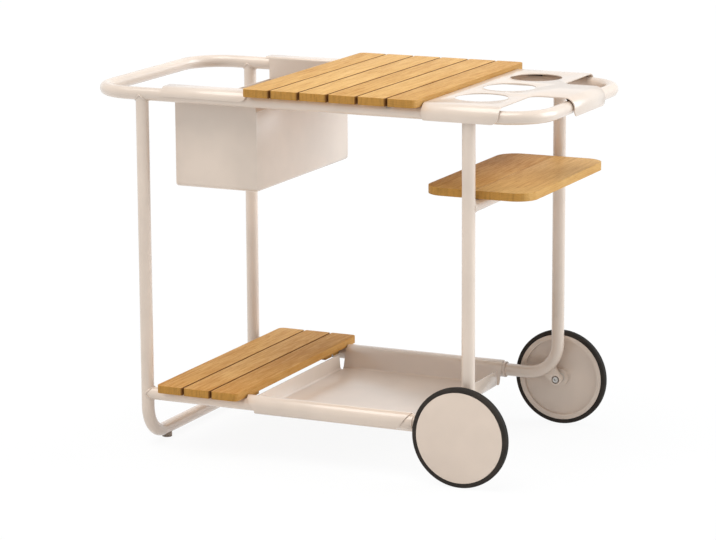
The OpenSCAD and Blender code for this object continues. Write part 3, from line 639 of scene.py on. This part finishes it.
def bead(mesh, places, radius, pitch):
    """A closed weld bead through places, thicker and thinner once in each pitch."""
    sides = 8
    ripple = 0.12
    edges = []
    count = len(places)
    travel = 0.0
    for i, place in enumerate(places):
        ahead = places[(i + 1) % count]
        behind = places[i - 1]
        turn = (ahead - behind).to_track_quat("Z", "Y").to_matrix().to_4x4()
        swell = 1.0 + ripple * math.sin(2 * math.pi * travel / pitch)
        ring = bmesh.ops.create_circle(mesh, segments=sides, radius=radius * swell,
                                       matrix=Matrix.Translation(place) @ turn)
        edges += dict.fromkeys(edge for vert in ring["verts"] for edge in vert.link_edges)
        travel += (ahead - place).length
    bmesh.ops.bridge_loops(mesh, edges=edges, use_cyclic=True)


# ---------------------------------------------------------------- pieces

def slats_of(level):
    """The slats of a deck, from left to right."""
    return [name for name in sorted(NODES)
            if name.startswith(level + "_slat_") and name[-1].isdigit()]


def tube_radius():
    """Radius of the frame's tubes."""
    low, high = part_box("shelf_cross_tube")
    return (high.z - low.z) / 2


def saddle(radius, centre, run, into):
    """Places along the seam where a tube that runs along run meets one along into."""
    run = Vector(run)
    into = Vector(into)
    side = run.cross(into)
    count = 168
    # keeps the seam from a kink at its two ends
    blunt = 0.02
    places = []
    for i in range(count):
        angle = 2 * math.pi * i / count
        depth = -math.sqrt(math.cos(angle) ** 2 + blunt)
        places.append(centre + radius * (math.cos(angle) * into + math.sin(angle) * side
                                         + depth * run))
    return places


def make_welds():
    """Beads where the tubes are welded to each other."""
    radius = tube_radius()
    rail_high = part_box("top_rail")[1]
    side_low, side_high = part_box("front_side_frame")
    leg_low, leg_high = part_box("left_leg_frame")
    rail_z = rail_high.z - radius
    lower_z = side_low.z + radius
    shelf_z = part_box("shelf_cross_tube")[1].z - radius
    rail_y = rail_high.y - radius
    left_x = (leg_low.x + leg_high.x) / 2
    right_x = side_high.x - radius
    up = (0, 0, 1)
    for side, sign in SIDES.items():
        joints = {
            f"weld_{side}_left_leg": (left_x, rail_z, up, (1, 0, 0)),
            f"weld_{side}_right_leg": (right_x, rail_z, up, (1, 0, 0)),
            f"weld_{side}_lower_rail": (left_x, lower_z, (-1, 0, 0), up),
            f"weld_{side}_shelf_tube": (right_x, shelf_z, (0, sign, 0), up),
        }
        for name, (x, z, run, into) in joints.items():
            mesh = bmesh.new()
            centre = Vector((x, sign * rail_y, z))
            bead(mesh, saddle(radius, centre, run, into), shape().weld_radius,
                 shape().weld_pitch)
            bmesh.ops.recalc_face_normals(mesh, faces=mesh.faces)
            for face in mesh.faces:
                face.smooth = True
            piece = mesh_object(mesh, name, material_of("powder_coat"))
            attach(piece, "frame")


def make_board(node, radius, along, seed, darker_by_shade_and_tone=0.0, gap_sides=()):
    """A slat, board or batten with rounded edges and its own grain, with painted shade on its long
    sides, in its gaps and, on the lower deck, all over.
    """
    # edges round a screw's hole are shorter than this and stay sharp
    screw_rim = 0.8 * MM
    mesh = copied(node)
    round_corners(mesh, shape().timber_corner)
    round_edges(mesh, radius, segments=3, shortest=screw_rim)
    lay_grain(mesh, along, seed, darker_by_shade_and_tone, gap_sides)
    keep(mesh, node)


def make_tyre(side):
    """Solid tyre: a band with round shoulders and a fine mould line."""
    node = f"tyre_{side}"
    low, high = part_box(node)
    hub_low, hub_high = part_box(f"wheel_{side}")
    centre = (low + high) / 2
    outer = (high.z - low.z) / 2
    inner = (hub_high.z - hub_low.z) / 2
    half = (high.y - low.y) / 2
    seam = shape().tyre_seam
    lip = 0.8 * MM
    crown = outer - seam
    steps = 160
    mesh = bmesh.new()
    outline = [(inner, -half + lip), (inner + lip, -half), (crown, -half),
               (crown, -2 * seam), (outer, -seam), (outer, seam), (crown, 2 * seam),
               (crown, half), (inner + lip, half), (inner, half - lip)]
    verts = [mesh.verts.new(centre + Vector((r, y, 0.0))) for r, y in outline]
    mesh.faces.new(verts)
    shoulders = [verts[2], verts[7]]
    bmesh.ops.bevel(mesh, geom=shoulders, offset=shape().tyre_shoulder, offset_type="OFFSET",
                    affect="VERTICES", segments=6, profile=0.5, material=-1)
    bmesh.ops.delete(mesh, geom=mesh.faces[:], context="FACES_ONLY")
    bmesh.ops.spin(mesh, geom=mesh.verts[:] + mesh.edges[:], cent=centre, axis=(0, 1, 0),
                   angle=2 * math.pi, steps=steps, use_merge=True)
    bmesh.ops.remove_doubles(mesh, verts=mesh.verts, dist=MERGE_DISTANCE)
    bmesh.ops.recalc_face_normals(mesh, faces=mesh.faces)
    # dust gathers on both sides, and on the lips beside the wheel
    mark = mesh.verts.layers.float.new("edge")
    for vert in mesh.verts:
        aside = abs(vert.co.y - centre.y)
        vert[mark] = 1.0 if aside > half - 1.5 * lip else 0.0
    keep(mesh, node)


# ---------------------------------------------------------------- stage

def make_camera():
    """Camera at the photograph's viewing angle."""
    data = bpy.data.cameras.new("camera")
    data.sensor_fit = "HORIZONTAL"
    data.sensor_width = 36.0
    data.lens = stage().focal_length
    data.clip_end = 100.0
    camera = bpy.data.objects.new("camera", data)
    turn = (Matrix.Rotation(stage().camera_azimuth, 4, "Z")
            @ Matrix.Rotation(math.pi / 2 - stage().camera_tilt, 4, "X")
            @ Matrix.Rotation(stage().camera_roll, 4, "Z"))
    camera.matrix_world = Matrix.Translation(stage().camera_place) @ turn
    bpy.context.scene.collection.objects.link(camera)
    bpy.context.scene.camera = camera


def make_lamp(name, strength, colour, direction):
    """A wide lamp, far away in a direction."""
    data = bpy.data.lights.new(name, "SUN")
    data.energy = strength
    data.angle = stage().softness
    data.color = colour
    lamp = bpy.data.objects.new(name, data)
    lamp.rotation_euler = Vector(direction).to_track_quat("Z", "Y").to_euler()
    bpy.context.scene.collection.objects.link(lamp)


def white_to_camera(tree, kind, other, share):
    """Mixes white in for the rays that see the background, and for mirrors and glass."""
    path = add(tree, "LightPath").outputs
    seen = calc(tree, "MAXIMUM", path["Is Camera Ray"], path["Is Glossy Ray"])
    seen = calc(tree, "MAXIMUM", seen, path["Is Transmission Ray"])
    white = add(tree, kind, {"Color": (1, 1, 1, 1), "Strength": 1.0}).outputs[0]
    amount = calc(tree, "MULTIPLY", seen, share)
    return add(tree, "MixShader", {0: amount, 1: other, 2: white}).outputs[0]


def make_sky():
    """Light from all round, which the camera sees as white."""
    world = bpy.data.worlds.new("studio")
    world.use_nodes = True
    tree = world.node_tree
    sky = tree.nodes["Background"]
    sky.inputs["Color"].default_value = opaque(stage().sky_colour)
    sky.inputs["Strength"].default_value = stage().sky_strength
    result = white_to_camera(tree, "Background", sky.outputs[0], 1.0)
    tree.links.new(result, tree.nodes["World Output"].inputs["Surface"])
    bpy.context.scene.world = world


def make_floor():
    """White floor that still takes a soft shadow."""
    half_size = 30.0
    grey = 0.8
    material, tree, inputs = new_material("white_floor", Roughness=0.9, Specular_IOR_Level=0.0)
    inputs["Base Color"].default_value = (grey, grey, grey, 1)
    matt = tree.nodes["Principled BSDF"].outputs[0]
    result = white_to_camera(tree, "Emission", matt, stage().floor_glow)
    tree.links.new(result, tree.nodes["Material Output"].inputs["Surface"])
    mesh = bmesh.new()
    bmesh.ops.create_grid(mesh, x_segments=1, y_segments=1, size=half_size)
    mesh_object(mesh, "floor", material)


# ---------------------------------------------------------------- operators

class TROLLEY_OT_frame(bpy.types.Operator):
    """Finish the frame's tubes, its glides and the tray's sleeves"""

    bl_idname = "trolley.frame"
    bl_label = "Frame tubes"
    bl_options = {"REGISTER", "UNDO"}

    def execute(self, context):
        for node in ("top_rail", "left_leg_frame", "front_side_frame", "back_side_frame",
                     "shelf_cross_tube"):
            soften(node, shape().tube_edge, segments=1)
        for side in SIDES:
            soften(f"glide_{side}", shape().moulded_edge)
            soften(f"tray_stop_{side}", shape().moulded_edge)
        return {"FINISHED"}


class TROLLEY_OT_welds(bpy.types.Operator):
    """Lay the weld beads between the tubes"""

    bl_idname = "trolley.welds"
    bl_label = "Weld beads"
    bl_options = {"REGISTER", "UNDO"}

    def execute(self, context):
        make_welds()
        return {"FINISHED"}


class TROLLEY_OT_slats(bpy.types.Operator):
    """Round the slats' edges and give each its own grain, with painted shade in the gaps and on
    the lower deck
    """

    bl_idname = "trolley.slats"
    bl_label = "Slats"
    bl_options = {"REGISTER", "UNDO"}

    def execute(self, context):
        seed = FIRST_SLAT_SEED
        # the lower deck's slats are painted darker, as shade under the top deck
        for level, darker_by_shade_and_tone in DECK_PAINTED_SHADE.items():
            deck = slats_of(level)
            for node in deck:
                gap_sides = [side for side, last in ((-1, deck[0]), (1, deck[-1]))
                             if node != last]
                make_board(node, shape().timber_edge, ALONG_Y, seed, darker_by_shade_and_tone, gap_sides)
                seed += 1
        return {"FINISHED"}


class TROLLEY_OT_battens(bpy.types.Operator):
    """Round the battens' edges, with their grain along the trolley"""

    bl_idname = "trolley.battens"
    bl_label = "Battens"
    bl_options = {"REGISTER", "UNDO"}

    def execute(self, context):
        for level in DECK_PAINTED_SHADE:
            for side in SIDES:
                node = f"{level}_batten_{side}"
                make_board(node, shape().batten_edge, ALONG_X, seed=node)
        return {"FINISHED"}


class TROLLEY_OT_shelf(bpy.types.Operator):
    """Round the edges of the side shelf's two boards"""

    bl_idname = "trolley.shelf"
    bl_label = "Side shelf"
    bl_options = {"REGISTER", "UNDO"}

    def execute(self, context):
        for side, gap_side in (("left", 1), ("right", -1)):
            make_board(f"shelf_board_{side}", shape().timber_edge, ALONG_Y, side,
                       SHELF_SHADES[side], [gap_side])
        return {"FINISHED"}


class TROLLEY_OT_sheet_parts(bpy.types.Operator):
    """Round the cut edges of the bucket, the cup panel and the tray"""

    bl_idname = "trolley.sheet_parts"
    bl_label = "Sheet parts"
    bl_options = {"REGISTER", "UNDO"}

    def execute(self, context):
        for node in ("bucket", "cup_panel", "tray"):
            soften(node, shape().sheet_edge)
        return {"FINISHED"}


class TROLLEY_OT_wheels(bpy.types.Operator):
    """Finish the wheels and their covers, and turn the tyres"""

    bl_idname = "trolley.wheels"
    bl_label = "Wheels and tyres"
    bl_options = {"REGISTER", "UNDO"}

    def execute(self, context):
        for side in SIDES:
            soften(f"wheel_{side}", shape().moulded_edge)
            soften(f"wheel_cover_{side}", shape().moulded_edge, segments=3)
            make_tyre(side)
            coat_node(f"hub_bushes_{side}")
        return {"FINISHED"}


class TROLLEY_OT_axles(bpy.types.Operator):
    """Finish the axle bosses, bolts, spacers and nuts"""

    bl_idname = "trolley.axles"
    bl_label = "Axles"
    bl_options = {"REGISTER", "UNDO"}

    def execute(self, context):
        for side in SIDES:
            soften(f"axle_boss_{side}", shape().moulded_edge)
            soften(f"axle_bolt_{side}", shape().metal_edge)
            soften(f"hub_spacer_{side}", shape().metal_edge)
            coat_node(f"axle_nut_{side}")
        return {"FINISHED"}


class TROLLEY_OT_small_parts(bpy.types.Operator):
    """Give the screws and the rail pads their finish"""

    bl_idname = "trolley.small_parts"
    bl_label = "Screws and pads"
    bl_options = {"REGISTER", "UNDO"}

    def execute(self, context):
        for node in ("shelf_screws", "top_slat_screws", "lower_slat_screws",
                     "bucket_pads", "cup_panel_pads", "tray_pads"):
            coat_node(node)
        return {"FINISHED"}


class TROLLEY_OT_stage(bpy.types.Operator):
    """Set up the floor, the light and the camera"""

    bl_idname = "trolley.stage"
    bl_label = "Stage"
    bl_options = {"REGISTER", "UNDO"}

    def execute(self, context):
        look = stage()
        make_camera()
        make_lamp("key", look.key_strength, look.key_colour, look.key_direction)
        make_lamp("side", look.side_strength, look.side_colour, look.side_direction)
        make_sky()
        make_floor()
        context.scene.view_settings.view_transform = "Standard"
        return {"FINISHED"}


OPERATORS = (TROLLEY_OT_frame, TROLLEY_OT_welds, TROLLEY_OT_slats, TROLLEY_OT_battens,
             TROLLEY_OT_shelf, TROLLEY_OT_sheet_parts, TROLLEY_OT_wheels, TROLLEY_OT_axles,
             TROLLEY_OT_small_parts, TROLLEY_OT_stage)


class TROLLEY_PT_panel(bpy.types.Panel):
    """Settings and steps of the trolley"""

    bl_idname = "TROLLEY_PT_panel"
    bl_label = "Drinks trolley"
    bl_space_type = "VIEW_3D"
    bl_region_type = "UI"
    bl_category = "Trolley"

    def draw(self, context):
        layout = self.layout
        for group in (shape(), finish(), stage()):
            box = layout.box()
            for name in group.__annotations__:
                box.prop(group, name)
        for operator in OPERATORS:
            layout.operator(operator.bl_idname)


GROUPS = {"trolley_shape": TrolleyShape, "trolley_finish": TrolleyFinish,
          "trolley_stage": TrolleyStage}
CLASSES = (*GROUPS.values(), *OPERATORS, TROLLEY_PT_panel)


def register():
    """Registers the classes and adds the settings to the scene."""
    for cls in CLASSES:
        bpy.utils.register_class(cls)
    for name, group in GROUPS.items():
        setattr(bpy.types.Scene, name, bpy.props.PointerProperty(type=group))


def unregister():
    """Takes the settings and the classes away again."""
    for name in GROUPS:
        delattr(bpy.types.Scene, name)
    for cls in reversed(CLASSES):
        bpy.utils.unregister_class(cls)


def main():
    """Registers the classes and builds every piece."""
    register()
    bpy.ops.trolley.stage()
    bpy.ops.trolley.frame()
    bpy.ops.trolley.welds()
    bpy.ops.trolley.slats()
    bpy.ops.trolley.battens()
    bpy.ops.trolley.shelf()
    bpy.ops.trolley.sheet_parts()
    bpy.ops.trolley.wheels()
    bpy.ops.trolley.axles()
    bpy.ops.trolley.small_parts()


if __name__ == "__main__":
    main()
